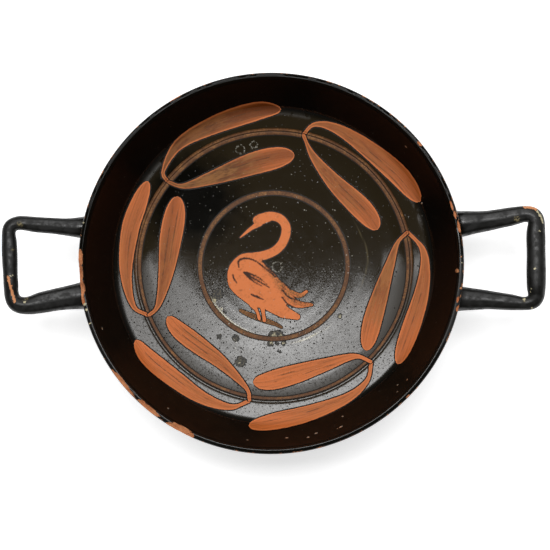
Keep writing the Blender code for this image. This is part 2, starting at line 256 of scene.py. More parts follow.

# Bare clay, pale specks and a painted highlight on the handles and the lip, seen from above: place in plan
# and radius
HANDLE_STREAK = ((-130.6, -7.1), (-129.2, -12.8), (-127.5, -18.9))
CORNER_STREAK = ((125.7, 27.3), (128.4, 27.5), (131.1, 26.6))
# A pale line down the right handle's outer corner: a painted highlight, drawn as a streak
CORNER_HIGHLIGHT = ((131.6, 25.4), (133.4, 22.6), (134.4, 19.4))
HANDLE_SPECKS = ((-129.5, -6.3, 0.3), (-128.3, -5.9, 0.4), (130.3, -3.2, 0.6), (132.7, 15.7, 0.4),
                 (128.3, -12.9, 0.35), (128.3, -14.6, 0.35), (129.1, -22.4, 0.5), (-122.4, -19.3, 0.6),
                 (124.9, -17.9, 0.5), (-93.1, 20.2, 0.5), (-92.1, -20.3, 0.55), (-91.1, -23.0, 0.6),
                 (-89.4, -30.0, 0.5), (94.4, -0.2, 0.35))
LIP_SPECKS = ((92.0, -3.9, 0.9), (94.0, -12.6, 0.45), (93.9, 3.0, 0.3))
HANDLE_SMUDGES = ((-125.1, 19.7, 1.5), (-122.0, -17.6, 1.3), (121.6, 21.7, 1.6), (-128.6, 6.9, 0.7),
                  (133.9, 21.4, 0.9), (125.4, -18.9, 0.8))
HANDLE_TOP = 52.0

# How finely the handles are swept, how far the bar is from the arms' gable, how much a corner is
# pinched on its inner side, and the unevenness of the potter's hand: amount and pitch
ARM_STATIONS = 34
CORNER_STATIONS = 14
BAR_STATIONS = 22
SECTION_SIDES = 32
BAR_RIDGE = 0.25
CORNER_PINCH = 0.16
PINCH_START = 4
HAND_MADE = (0.35, 11.0)
HANDLE_MIDDLE = (110.0, 2.0, 45.0)

# The core that trims the handles' ends: from the wall's face to its middle, how far it starts inside
# the bend and below it, and how far it stands over the rim
WALL_MIDDLE = (1.6, -0.4)
CORE_INSET = 12.0
CORE_DROP = 2.2
CORE_OVER = 6.0


# Curves and fields in plan, all on arrays of points

def mix(start, end, share):
    return start + (end - start) * share


def true_radius(x, y):
    """Distance from the axis before the rim's slight stretch to an oval."""
    return np.hypot(x / (1 + RIM_STRETCH), y / (1 - RIM_STRETCH))


def stretch(places):
    places[:, 0] *= 1 + RIM_STRETCH
    places[:, 1] *= 1 - RIM_STRETCH


def bezier(start, bend, end, count):
    """Points of a curve that leaves start towards bend and arrives at end from bend."""
    t = np.linspace(0, 1, count)[:, None]
    start, bend, end = (np.asarray(point, float) for point in (start, bend, end))
    return (1 - t) ** 2 * start + 2 * t * (1 - t) * bend + t ** 2 * end


def path_length(points):
    steps = np.linalg.norm(np.diff(points, axis=0), axis=1)
    return np.concatenate([[0], np.cumsum(steps)])


def evenly(points, count):
    """The same line with count points, evenly spaced along it."""
    points = np.asarray(points, float)
    along = path_length(points)
    wanted = np.linspace(0, along[-1], count)
    return np.stack([np.interp(wanted, along, column) for column in points.T], -1)


def smooth_line(points, count, closed=False):
    """A smooth curve through the points, evenly spaced."""
    points = np.asarray(points, float)
    if closed:
        ends = (points[-1], points[0], points[1])
    else:
        ends = (2 * points[0] - points[1], 2 * points[-1] - points[-2])
    around = np.vstack([ends[:1], points, ends[1:]])
    pieces = []
    t = np.linspace(0, 1, 16, endpoint=False)[:, None]
    for a, b, c, d in zip(around, around[1:], around[2:], around[3:]):
        pieces.append(0.5 * (2 * b + (c - a) * t + (2 * a - 5 * b + 4 * c - d) * t ** 2
                             + (3 * b - a - 3 * c + d) * t ** 3))
    if not closed:
        pieces.append(points[-1:])
    line = np.vstack(pieces)
    return evenly(np.vstack([line, line[:1]]) if closed else line, count)


def beside(places, line):
    """For each place: its share along the line, signed distance off it and overshoot past its ends."""
    along = path_length(line)
    best = np.full(len(places), 1e9)
    share = np.zeros(len(places))
    across = np.zeros(len(places))
    past = np.zeros(len(places))
    last = len(line) - 2
    for i in range(last + 1):
        step = line[i + 1] - line[i]
        size = np.linalg.norm(step)
        step = step / size
        offset = places - line[i]
        t = offset @ step
        side = offset[:, 1] * step[0] - offset[:, 0] * step[1]
        clamped = np.clip(t, 0, size)
        gap = np.hypot(t - clamped, side)
        closer = gap < best
        best = np.where(closer, gap, best)
        share = np.where(closer, (along[i] + clamped) / along[-1], share)
        over = np.maximum(-t if i == 0 else 0, t - size if i == last else 0)
        over = np.maximum(over, 0)
        bent = np.where((over > 0) | (gap == np.abs(side)), side, np.copysign(gap, side))
        across = np.where(closer, bent, across)
        past = np.where(closer, over, past)
    return share, across, past


def stroke_margin(places, stroke):
    """How far each place is inside a stroke's edge; less than nothing is outside."""
    points, halves = stroke
    share, across, past = beside(places, smooth_line(points, 26))
    half = np.interp(share, np.linspace(0, 1, len(halves)), halves)
    return half - np.hypot(across, past)


def outline_margin(places, outline):
    """How far each place is inside a closed smooth outline."""
    line = smooth_line(outline, 90, closed=True)
    gap = np.full(len(places), 1e9)
    inside = np.zeros(len(places), bool)
    for a, b in zip(line, line[1:]):
        step = b - a
        offset = places - a
        t = np.clip(offset @ step / (step @ step), 0, 1)
        gap = np.minimum(gap, np.linalg.norm(offset - t[:, None] * step, axis=1))
        crosses = (a[1] > places[:, 1]) != (b[1] > places[:, 1])
        slope = step[0] / step[1] if step[1] else 0
        inside ^= crosses & (places[:, 0] < a[0] + (places[:, 1] - a[1]) * slope)
    return np.where(inside, gap, -gap)


# The bowl's section

def floor_height(radius):
    into_curl = np.maximum(radius - (STEP_RADIUS - CURL_WIDTH), 0) / CURL_WIDTH
    dish = FLOOR_RISE * (radius / STEP_RADIUS) ** 2
    turning = TURNING_DEPTH * np.cos(2 * math.pi * radius / TURNING_PITCH)
    return RIM_HEIGHT - BOWL_DEPTH + dish + CURL_RISE * into_curl ** 2 + turning


def floor_stretch(start, end, spacing):
    count = max(round((end - start) / spacing), 1)
    radii = start + (end - start) * np.arange(1, count + 1) / count
    return np.stack([radii, floor_height(radii)], -1)


STEP_TOP = np.array((STEP_RADIUS + STEP_WIDTH, floor_height(STEP_RADIUS) + STEP_DEPTH))
BEND = np.array((BEND_RADIUS, STEP_TOP[1] + LEDGE_RISE))
LIP_INNER = np.array((RIM_RADIUS - LIP_THICKNESS, RIM_HEIGHT - LIP_THICKNESS / 2))


def unit(step):
    return step / np.linalg.norm(step)


def towards(start, end, distance):
    return start + unit(end - start) * distance


def lip_middle():
    along = unit(LIP_INNER - BEND)
    return (BEND + LIP_INNER) / 2 + np.array((along[1], -along[0])) * LIP_BELLY * 2


BEND_START = towards(BEND, STEP_TOP, BEND_ROUND)
BEND_END = towards(BEND, lip_middle(), BEND_ROUND)


def wall_line(count):
    return bezier(BEND_END, lip_middle(), LIP_INNER, count)


def lip_section():
    """Over the lip: a crisp inner edge, a top that falls a little outwards and a round outer edge."""
    top = RIM_HEIGHT
    arris = LIP_INNER + np.array((ARRIS_INSET, LIP_THICKNESS / 2 - LIP_ARRIS))
    inner = bezier(LIP_INNER, (arris[0] - 0.25, LIP_INNER[1] + 0.8), arris, 4)[1:]
    edge_end = (arris[0] + LIP_ARRIS + 0.05, top)
    edge = bezier(arris, (arris[0] + 0.1, top - 0.03), edge_end, 6)[1:]
    outer = RIM_RADIUS - LIP_OUTER_ROUND
    falling = np.array([(mix(edge_end[0], outer, 0.5), top - LIP_FALL / 2), (outer, top - LIP_FALL)])
    rounding = bezier(falling[-1], (RIM_RADIUS - 0.05, top - LIP_FALL - 0.2),
                      (RIM_RADIUS, top - LIP_SIDE), 6)[1:]
    return np.vstack([inner, edge, falling, rounding])


def section():
    """Rings of the turned body, as radius, height and number of points round."""
    rings = []

    def add(points, count):
        for radius, height in points:
            rings.append((radius, height, count))

    for start, end, spacing, count in FLOOR_BANDS:
        add(floor_stretch(start, end, spacing), count)
    foot = np.array((STEP_RADIUS, floor_height(STEP_RADIUS)))
    add(foot + np.array(STEP_SECTION[1:]), FINE_ROUND)
    add(evenly([STEP_TOP, BEND_START], 9)[1:], FINE_ROUND)
    add(bezier(BEND_START, BEND, BEND_END, 5)[1:], FINE_ROUND)
    add(evenly(wall_line(40), 25)[1:-1], MIDDLE_ROUND)
    add([LIP_INNER, *lip_section()], FINE_ROUND)
    add(bezier((RIM_RADIUS, RIM_HEIGHT - LIP_SIDE), LIP_OUTSIDE_MIDDLE, SHOULDER_NECK, 14)[1:], MIDDLE_ROUND)
    add(bezier(SHOULDER_NECK, (SHOULDER_NECK[0] + 0.1, SHOULDER[1]), SHOULDER, 4)[1:], MIDDLE_ROUND)
    add(evenly(bezier(SHOULDER, BULGE, BOWL_NECK, 60), 30)[1:], COARSE_ROUND)
    add(foot_section(), FOOT_ROUND)
    return rings


def foot_section():
    """The foot's side, its resting face and the hollow under it, rounded between its points."""
    points = [np.asarray(BOWL_NECK, float)] + [np.asarray(point, float) for point in FOOT_SECTION]
    rounded = []
    for before, point, after in zip(points, points[1:], points[2:]):
        reach = 0.4 * min(np.linalg.norm(point - before), np.linalg.norm(after - point), 2.0)
        level = point[1] == 0
        corner = bezier(towards(point, before, reach), point, towards(point, after, reach), 4)
        rounded.extend([point] if level else corner)
    return rounded


def turned_mesh(rings, bottom):
    """A closed body of revolution from rings that run from the axis out, over the lip and under."""
    places = [(0, 0, float(floor_height(0)))]
    faces = []
    before = None
    for radius, height, count in rings:
        start = len(places)
        angles = 2 * math.pi * np.arange(count) / count
        ring = np.stack([radius * np.cos(angles), radius * np.sin(angles), np.full(count, height)], -1)
        places.extend(map(tuple, ring))
        if before is None:
            faces += [(0, start + i, start + (i + 1) % count) for i in range(count)]
        else:
            faces += band(*before, start, count)
        before = (start, count)
    axis = len(places)
    places.append((0, 0, bottom))
    start, count = before
    faces += [(start + (i + 1) % count, start + i, axis) for i in range(count)]
    return np.array(places), faces


def band(first, first_count, second, second_count):
    """Faces between two rings, where one may have twice as many points as the other."""
    faces = []
    count = min(first_count, second_count)
    for i in range(count):
        a, b, c = (first + (i * first_count // count + k) % first_count for k in range(3))
        d, e, f = (second + (i * second_count // count + k) % second_count for k in range(3))
        if first_count == second_count:
            faces.append((a, d, e, b))
        elif second_count > first_count:
            faces += [(a, d, e), (a, e, b), (b, e, f)]
        else:
            faces += [(a, d, b), (b, d, e), (b, e, c)]
    return faces


def hand_made(places):
    """Slight unevenness, as thrown and shaped by hand, the same each run."""
    noise.seed_set(HAND_SEED)
    amount, pitch = HAND_MADE
    return places + amount * np.array([noise.noise_vector(Vector(place) / pitch) for place in places])


def linked(name, data):
    """A new object of the scene with this mesh, light or camera."""
    made = bpy.data.objects.new(name, data)
    bpy.context.scene.collection.objects.link(made)
    return made


def mesh_piece(name, places, faces):
    mesh = bpy.data.meshes.new(name)
    mesh.from_pydata((places * MM).tolist(), [], faces)
    return linked(name, mesh)


def turned_body():
    places, faces = turned_mesh(section(), FOOT_SECTION[-1][1])
    stretch(places)
    return mesh_piece("kylix_body", places, faces)


# Handles

def arm_line(side, arm, sign, reach, count):
    """One arm's centre line and half thickness, from inside the wall out towards its corner."""
    share = np.linspace(0, 1, count)
    x = mix(BEND_RADIUS - arm["root_half"], reach - arm["round"], share)
    y = sign * (mix(arm["root"], arm["corner"], share ** ARM_SWEEP) - arm["dip"] * np.sin(share * math.pi))
    z = mix(ROOT_HEIGHT, BAR_HEIGHT - BAR_ARCH, np.sin(share * math.pi / 2))
    half = mix(arm["root_half"], arm["corner_half"], share ** ARM_TAPER)
    half = half - arm["waist"] * np.sin(share * math.pi)
    half = half + ROOT_FLARE * np.exp(-np.maximum(x - LIP_INNER[0], 0) / FLARE_LENGTH)
    return np.stack([side * x, y, z], -1), half


def bar_height(y, upper, lower):
    """The bar arches a little, so that it falls towards both corners."""
    middle = (upper - lower) / 2
    half_length = (upper + lower) / 2
    return BAR_HEIGHT - BAR_ARCH * ((y - middle) / half_length) ** 2


def round_corner(before, corner, after, radius, count):
    """A corner of the centre line rounded to a radius, between two straight runs."""
    turn = math.acos(unit(before - corner) @ unit(after - corner))
    trim = radius / math.tan(turn / 2)
    return bezier(towards(corner, before, trim), corner, towards(corner, after, trim), count)


def handle_line(side, shape):
    """Stations along a handle: place, half thickness, how gabled it is and how pinched."""
    upper, lower, bar_half = shape["upper"], shape["lower"], shape["bar_half"]
    lower_reach = HANDLE_REACH - shape["lean"]
    first, first_half = arm_line(side, upper, 1, HANDLE_REACH, ARM_STATIONS)
    last, last_half = arm_line(side, lower, -1, lower_reach, ARM_STATIONS)
    top = np.array((side * HANDLE_REACH, upper["corner"], BAR_HEIGHT - BAR_ARCH))
    foot = np.array((side * lower_reach, -lower["corner"], BAR_HEIGHT - BAR_ARCH))
    top_corner = round_corner(first[-2], top, foot, upper["round"], CORNER_STATIONS)
    foot_corner = round_corner(top, foot, last[-2], lower["round"], CORNER_STATIONS)
    bar = evenly([top_corner[-1], foot_corner[0]], BAR_STATIONS)[1:-1]
    bar[:, 2] = bar_height(bar[:, 1], upper["corner"], lower["corner"])
    places = np.vstack([first[:-1], top_corner, bar, foot_corner, last[::-1][1:]])

    def along(arms, corners, on_bar):
        """Values from the first arm, through a corner, the bar and the other corner, to the last arm."""
        return np.concatenate([arms[0], np.linspace(*corners[0], CORNER_STATIONS),
                               np.full(len(bar), on_bar), np.linspace(*corners[1], CORNER_STATIONS), arms[1]])

    halves = along((first_half[:-1], last_half[::-1][1:]),
                   ((upper["corner_half"], bar_half), (bar_half, lower["corner_half"])), bar_half)
    gabled = np.ones(ARM_STATIONS - 1)
    ridge = along((gabled, gabled), ((1, BAR_RIDGE), (BAR_RIDGE, 1)), BAR_RIDGE)
    pinching = np.concatenate([np.zeros(ARM_STATIONS - 1 - PINCH_START), np.linspace(0, 1, PINCH_START)])
    pinch = along((pinching, pinching[::-1]), ((1, 1), (1, 1)), 0.0)
    return soften(places, 2), soften(halves, 3), soften(ridge, 3), soften(pinch, 2)


def soften(values, rounds):
    """Values along a line, each evened out with its neighbours, the ends as they were."""
    values = values.copy()
    for _ in range(rounds):
        values[1:-1] = (values[:-2] + 2 * values[1:-1] + values[2:]) / 4
    return values


def arm_section(sides):
    """The closed section of an arm: a gable with its ridge on top, round at the sides."""
    half = smooth_line(ARM_SECTION, sides // 2 + 1)
    other = half[1:-1][::-1] * np.array((-1, 1))
    return np.vstack([half, other])


def handle(name, side, shape):
    """A handle swept from root to root, with closed ends inside the wall."""
    line, halves, ridge, pinch = handle_line(side, shape)
    sides = SECTION_SIDES
    gable = arm_section(sides)
    angles = math.pi / 2 - 2 * math.pi * np.arange(sides) / sides
    circle = np.stack([np.cos(angles), np.sin(angles)], -1)
    middle = np.array(HANDLE_MIDDLE) * (side, 1, 1)
    places = []
    for i, place in enumerate(line):
        forwards = unit(line[min(i + 1, len(line) - 1)] - line[max(i - 1, 0)])
        sideways = unit(np.cross(forwards, (0, 0, 1)))
        upwards = np.cross(sideways, forwards)
        ring = mix(circle, gable, ridge[i]) * halves[i]
        inner = ring[:, 0] * np.sign((middle - place) @ sideways) > 0
        ring[:, 0] *= np.where(inner, 1 - CORNER_PINCH * pinch[i], 1.0)
        places.append(place + ring[:, :1] * sideways + ring[:, 1:] * upwards)
    faces = []
    for i in range(0, (len(line) - 1) * sides, sides):
        for j in range(sides):
            k = (j + 1) % sides
            faces.append((i + j, i + k, i + sides + k, i + sides + j))
    faces.append(tuple(reversed(range(sides))))
    faces.append(tuple(range((len(line) - 1) * sides, len(line) * sides)))
    piece = mesh_piece(name, hand_made(np.vstack(places)), faces)
    outwards(piece)
    return piece


def outwards(piece):
    """All faces of a closed mesh turned to point out."""
    shell = bmesh.new()
    shell.from_mesh(piece.data)
    bmesh.ops.recalc_face_normals(shell, faces=shell.faces)
    shell.to_mesh(piece.data)
    shell.free()


# Chips

def chip(name, size, material):
    """The lump of clay missing at a chip: an uneven rounded block."""
    degrees, length, radius, over, inwards, down = size
    angle = math.radians(degrees)
    scale = Vector((inwards, length / 2, down))
    lump = bmesh.new()
    bmesh.ops.create_icosphere(lump, subdivisions=4, radius=1)
    for vertex in lump.verts:
        rough = 1 + 0.20 * noise.fractal(vertex.co * 3.2 + Vector((angle * 9, 0, 0)), 0.7, 2.0, 4)
        vertex.co = Vector(a * b for a, b in zip(vertex.co * rough, scale))
    centre = Vector((radius * (1 + RIM_STRETCH) * math.cos(angle),
                     radius * (1 - RIM_STRETCH) * math.sin(angle), RIM_HEIGHT + over))
    place = Matrix.Translation(centre) @ Matrix.Rotation(angle, 4, "Z")
    bmesh.ops.transform(lump, matrix=Matrix.Scale(MM, 4) @ place, verts=lump.verts)
    mesh = bpy.data.meshes.new(name)
    lump.to_mesh(mesh)
    lump.free()
    mesh.materials.append(material)
    return linked(name, mesh)


def boolean(body, other, operation, self_cut=False):
    cut = body.modifiers.new(other.name, "BOOLEAN")
    cut.operation = operation
    cut.solver = "EXACT"
    cut.material_mode = "TRANSFER"
    cut.use_self = self_cut
    cut.object = other


def applied(piece, name):
    """A new object with the piece's modifiers applied."""
    bpy.context.view_layer.update()
    evaluated = piece.evaluated_get(bpy.context.evaluated_depsgraph_get())
    mesh = bpy.data.meshes.new_from_object(evaluated)
    mesh.name = name
    return linked(name, mesh)


def joined(pieces):
    """Several mesh objects as one."""
    first = pieces[0]
    with bpy.context.temp_override(active_object=first, object=first, selected_objects=pieces,
                                   selected_editable_objects=pieces):
        bpy.ops.object.join()
    return first


def cup_piece(gloss, clay):
    """The whole cup as one closed mesh: body, handles and chips."""
    body = turned_body()
    body.data.materials.append(gloss)
    handles = joined([handle("handle_left", -1, LEFT_HANDLE), handle("handle_right", 1, RIGHT_HANDLE)])
    core = trimming_core()
    boolean(handles, core, "DIFFERENCE")
    trimmed = applied(handles, "handles_trimmed")
    trimmed.data.materials.clear()
    trimmed.data.materials.append(gloss)
    lumps = joined([chip(name, size, clay) for name, size in CHIPS.items()])
    boolean(body, trimmed, "UNION")
    boolean(body, lumps, "DIFFERENCE", self_cut=True)
    cup = applied(body, "kylix_cup")
    for spare in (body, handles, core, trimmed, lumps):
        bpy.data.objects.remove(spare)
    return cup


def trimming_core():
    """All that lies inside the middle of the wall, which trims the handles' ends."""
    wall = wall_line(12) + np.array(WALL_MIDDLE)
    bottom = BEND[1] - CORE_DROP
    top = RIM_HEIGHT + CORE_OVER
    profile = [(BEND[0] - CORE_INSET, bottom), (BEND[0], bottom), *wall, (wall[-1][0], top)]
    places, faces = turned_mesh([(*point, COARSE_ROUND) for point in profile], top)
    places[0, 2] = bottom
    stretch(places)
    core = mesh_piece("trimming_core", places, faces)
    outwards(core)
    return core


def coat_wall(cup, gloss, wall_gloss):
    """The wall's inner faces, and the lip's inner edge at the back, get their own duller gloss."""
    cup.data.materials.append(wall_gloss)
    count = len(cup.data.polygons)
    centres = np.empty(count * 3)
    slots = np.empty(count, np.int32)
    cup.data.polygons.foreach_get("center", centres)
    cup.data.polygons.foreach_get("material_index", slots)
    x, y, z = centres.reshape(-1, 3).T / MM
    radius = true_radius(x, y)
    wall = wall_line(40)
    near = np.abs(radius - np.interp(z, wall[:, 1], wall[:, 0])) < 0.5
    near &= (z > BEND_END[1]) & (z < LIP_INNER[1] + 0.6)
    arris = (z > LIP_INNER[1]) & (np.abs(radius - LIP_INNER[0] - 0.8) < 1.1)
    near |= arris & (y > 10 + 0.08 * x)
    near &= slots == cup.data.materials.find(gloss.name)
    slots[near] = len(cup.data.materials) - 1
    cup.data.polygons.foreach_set("material_index", slots)


# Painted places, as values on the cup's vertices

def vertex_places(piece):
    places = np.empty(len(piece.data.vertices) * 3)
    piece.data.vertices.foreach_get("co", places)
    return places.reshape(-1, 3) / MM


def inside_bowl(places):
    """Which vertices lie on the inner surface, up to the lip."""
    x, y, z = places.T
    radius = true_radius(x, y)
    wall = wall_line(40)
    over_floor = z > floor_height(np.minimum(radius, STEP_RADIUS)) - 1.0
    before_wall = radius < np.interp(z, wall[:, 1], wall[:, 0]) + 1.2
    return over_floor & before_wall & (z < LIP_INNER[1] + 0.05)


def leaf_fields(places, names):
    """For the nearest of some leaves: share along it, distance across, half width, and its look."""
    best = np.full(len(places), OUTSIDE_PAINT)
    fields = np.tile((0.0, -OUTSIDE_PAINT, OUTSIDE_PAINT), (len(places), 1))
    look = np.zeros((len(places), 3))
    for name in names:
        points, full_width, blunt, own_look = LEAVES[name]
        share, side, past = beside(places, smooth_line(points, 44))
        swell = share ** LEAF_SWELL * np.sqrt(np.clip(1 - share ** blunt, 0, 1))
        widest = full_width / 2 / leaf_peak(blunt)
        width = np.maximum(STEM_HALF * (1 - share ** 6), widest * swell) - 1.6 * past
        reach = width - np.abs(side)
        width = width - 3 * np.maximum(-reach - 1.2, 0)
        closer = reach > best
        best[closer] = reach[closer]
        fields[closer] = np.stack([share, side, width], -1)[closer]
        look[closer] = own_look
    return fields, look


def leaf_peak(blunt):
    share = np.linspace(0, 1, 200)
    return float(np.max(share ** LEAF_SWELL * np.sqrt(1 - share ** blunt)))


def paint_values(cup):
    """Where each painted thing lies, as margins in millimetres on the cup's vertices."""
    places = vertex_places(cup)
    chosen = inside_bowl(places)
    plan = places[chosen][:, :2]

    def write(name, values, outside=OUTSIDE_PAINT):
        """Values for the vertices inside the bowl, and one outside value for all the others."""
        full = np.full((len(places),) + values.shape[1:], outside, np.float32)
        full[chosen] = values
        kind, field = ("FLOAT", "value") if values.ndim == 1 else ("FLOAT_VECTOR", "vector")
        cup.data.attributes.new(name, kind, "POINT").data.foreach_set(field, full.ravel())

    def drawn(strokes):
        return np.max([stroke_margin(plan, stroke) for stroke in strokes], axis=0)

    for kind in ("outer", "inner"):
        leaf, look = leaf_fields(plan, [name for name in LEAVES if name.endswith(kind)])
        write("leaf_" + kind, leaf)
        write("look_" + kind, look, 0.0)
    write("bird", np.maximum(outline_margin(plan, BIRD_BODY), drawn(BIRD_STROKES.values())))
    for name, strokes in (("bird_lines", BIRD_LINES.values()), ("bird_shade", [BIRD_SHADE]),
                          ("twig", [BIRD_TWIG]), ("stain", [STAIN]), ("gleam", GLEAMS.values())):
        write(name, drawn(strokes))
    write("inside", np.ones(len(plan)), 0.0)


# Materials

class Nodes:
    """Short ways to add and join a material's nodes, and to lay colours and roughness in layers."""

    def __init__(self, name):
        self.material = bpy.data.materials.new(name)
        self.material.use_nodes = True
        self.tree = self.material.node_tree
        self.shader = self.tree.nodes["Principled BSDF"]
        self.place = self.vector("MULTIPLY", self.add("TexCoord").outputs["Object"], (1 / MM,) * 3)

    def add(self, kind, *inputs, **settings):
        """A node with its settings and its first inputs."""
        node = self.tree.nodes.new("ShaderNode" + kind)
        for name, value in settings.items():
            setattr(node, name, value)
        for socket, value in zip(node.inputs, inputs):
            self.put(socket, value)
        return node

    def put(self, socket, value):
        if isinstance(value, bpy.types.NodeSocket):
            self.tree.links.new(value, socket)
        elif value is not None:
            socket.default_value = value

    def shade(self, inputs):
        """The material, with the shader's inputs set or linked by name."""
        for name, value in inputs.items():
            self.put(self.shader.inputs[name], value)
        return self.material

    def math(self, operation, *values):
        return self.add("Math", *values, operation=operation).outputs[0]

    def plus(self, a, b):
        return self.math("ADD", a, b)

    def minus(self, a, b):
        return self.math("SUBTRACT", a, b)

    def times(self, first, *others):
        for other in others:
            first = self.math("MULTIPLY", first, other)
        return first

    def most(self, first, *others):
        for other in others:
            first = self.math("MAXIMUM", first, other)
        return first

    def off(self, value, middle):
        """How far a value is from another, either way."""
        return self.math("ABSOLUTE", self.minus(value, middle))

    def vector(self, operation, a, b):
        node = self.add("VectorMath", a, b, operation=operation)
        return node.outputs["Value" if operation == "DISTANCE" else "Vector"]

    def between(self, value, start, end, low=0.0, high=1.0):
        """A smooth change from low to high as value goes from start to end."""
        node = self.add("MapRange", value, start, end, low, high, interpolation_type="SMOOTHSTEP")
        return node.outputs[0]

    def colour(self, share, a, b):
        node = self.add("Mix", share, data_type="RGBA", clamp_factor=True)
        self.put(node.inputs[6], a)
        self.put(node.inputs[7], b)
        return node.outputs[2]

    def value(self, share, a, b):
        return self.add("Mix", share, None, a, b, data_type="FLOAT", clamp_factor=True).outputs[0]

    def lay(self, share, colour=None, rough=None):
        """A layer of a colour, a roughness or both over what is there."""
        if colour is not None:
            self.base = self.colour(share, self.base, colour)
        if rough is not None:
            self.rough = self.value(share, self.rough, rough)

    def attribute(self, name, output="Fac"):
        return self.add("Attribute", attribute_name=name).outputs[output]

    def parts(self, vector):
        return tuple(self.add("SeparateXYZ", vector).outputs)

    def together(self, x, y, z):
        return self.add("CombineXYZ", x, y, z).outputs[0]

    def noise(self, vector, pitch, detail=3.0, rough=0.55, output=0):
        node = self.add("TexNoise", vector)
        for name, value in (("Scale", 1 / pitch), ("Detail", detail), ("Roughness", rough)):
            node.inputs[name].default_value = value
        return node.outputs[output]

    def nearest_dot(self, pitch):
        """Distance to the nearest of some scattered points, in shares of their pitch, and its colour."""
        node = self.add("TexVoronoi", self.place)
        node.inputs["Scale"].default_value = 1 / pitch
        return node.outputs["Distance"], node.outputs["Color"]

    def bump(self, height, distance, before=None):
        node = self.add("Bump")
        for name, value in (("Height", height), ("Distance", distance * MM), ("Normal", before)):
            self.put(node.inputs[name], value)
        return node.outputs[0]


class Gloss(Nodes):
    """The black gloss, with the fields that its layers share."""

    def __init__(self, name):
        super().__init__(name)
        self.x, self.y, self.z = self.parts(self.place)
        flat = self.together(self.math("DIVIDE", self.x, 1 + RIM_STRETCH),
                             self.math("DIVIDE", self.y, 1 - RIM_STRETCH), 0.0)
        self.radius = self.vector("DISTANCE", flat, (0.0, 0.0, 0.0))
        self.inside = self.attribute("inside")
        self.fine = self.noise(self.place, 0.9, 4.0, 0.65)
        self.middle = self.noise(self.place, 7.0, 3.0)
        self.wobble = self.times(self.minus(self.noise(self.place, 2.4, 3.0), 0.5), 0.55)
        self.turned_away = self.times(self.between(self.x, 36.0, 54.0), self.between(self.y, -48.0, -32.0))
        self.open_side = self.minus(1.0, self.turned_away)
        self.on_floor = self.times(self.between(self.radius, 80.0, 76.0), self.inside)
        self.lit = self.times(self.on_floor, self.open_side, self.between(self.y, 4.0, -26.0))


def paint(red, green, blue):
    """A colour from its screen values, as the shader's linear values."""
    def linear(value):
        share = value / 255
        return share / 12.92 if share < 0.04045 else ((share + 0.055) / 1.055) ** 2.4
    return (linear(red), linear(green), linear(blue), 1.0)


BLACK = paint(12, 11, 8)
OLIVE_BLACK = paint(42, 35, 23)
WALL_BLACK = paint(9, 6, 4)
# Brown painted on the front of the inner wall: painted reflection of the leaves on the ledge
LEAF_REFLECTION_BROWN = paint(27, 18, 10)
CLAY = paint(217, 119, 62)
CLAY_BRIGHT = paint(230, 130, 72)
CLAY_STREAK = paint(176, 98, 48)
CLAY_LINE = paint(92, 56, 26)
CLAY_DARK = paint(116, 58, 18)
CLAY_DULL = paint(148, 100, 52)
RING_BROWN = paint(112, 70, 34)
RING_DARK = paint(80, 49, 25)
SPECK = paint(190, 186, 172)
YELLOWISH = paint(206, 196, 160)
BROKEN = paint(216, 146, 98)
BROKEN_DARK = paint(176, 104, 62)
DEPOSIT = paint(150, 136, 96)
PIT_GREY = paint(96, 88, 68)
PIT_DARK = paint(24, 20, 14)

GLOSS_ROUGH = (0.065, 0.08)
DULL_ROUGH = (0.22, 0.32)
STEP_ROUGH = 0.42
AWAY_ROUGH = 0.5
BEND_ROUGH = 0.36
WALL_ROUGH = 0.55
WALL_SPECULAR = 0.08
HANDLE_ROUGH = (0.42, 0.66)
CONTOUR_ROUGH = 0.85
CLAY_ROUGH = (0.70, 0.85)
BROKEN_ROUGH = 0.85
BARE_ROUGH = 0.8
LOSS_ROUGH = 0.6


def broken_clay():
    """Clay where the gloss is chipped off: grainy, matt, paler on its high grains."""
    n = Nodes("broken_clay")
    grain = n.noise(n.place, 0.7, 4.0, 0.7)
    patch = n.noise(n.place, 4.0, 2.0)
    high_grain = n.between(n.value(0.5, grain, patch), 0.35, 0.65)
    return n.shade({"Base Color": n.colour(high_grain, BROKEN_DARK, BROKEN), "Roughness": BROKEN_ROUGH,
                    "Normal": n.bump(grain, 0.25)})


def blob_margin(n, place, blobs, height_of=None):
    """How far inside the nearest of some round marks, in millimetres; at no height, they lie flat."""
    margins = []
    for x, y, radius in blobs:
        height = height_of(x, y) if height_of else 0.0
        margins.append(n.minus(radius, n.vector("DISTANCE", place, (x, y, height))))
    return n.most(*margins)


def streak_margin(n, place, line, half):
    """How far inside a streak along a short line in plan: overlapping blobs, in millimetres."""
    return blob_margin(n, place, [(x, y, half) for x, y in evenly(line, 12)])


def loosened(n, place, amount, pitch):
    """A place that noise shifts in plan, so that what is drawn there has ragged edges."""
    drift = n.vector("MULTIPLY", n.noise(n.place, pitch, 4.0, 0.7, output=1), (amount, amount, 0.0))
    return n.vector("SUBTRACT", n.vector("ADD", place, drift), (amount / 2, amount / 2, 0.0))


def bowl_height(x, y):
    """Height of the bowl's inner surface at a place in plan."""
    radius = true_radius(x, y)
    if radius < STEP_RADIUS:
        return float(floor_height(radius))
    line = np.vstack([STEP_TOP, BEND, wall_line(30)[1:]])
    return float(np.interp(radius, line[:, 0], line[:, 1]))


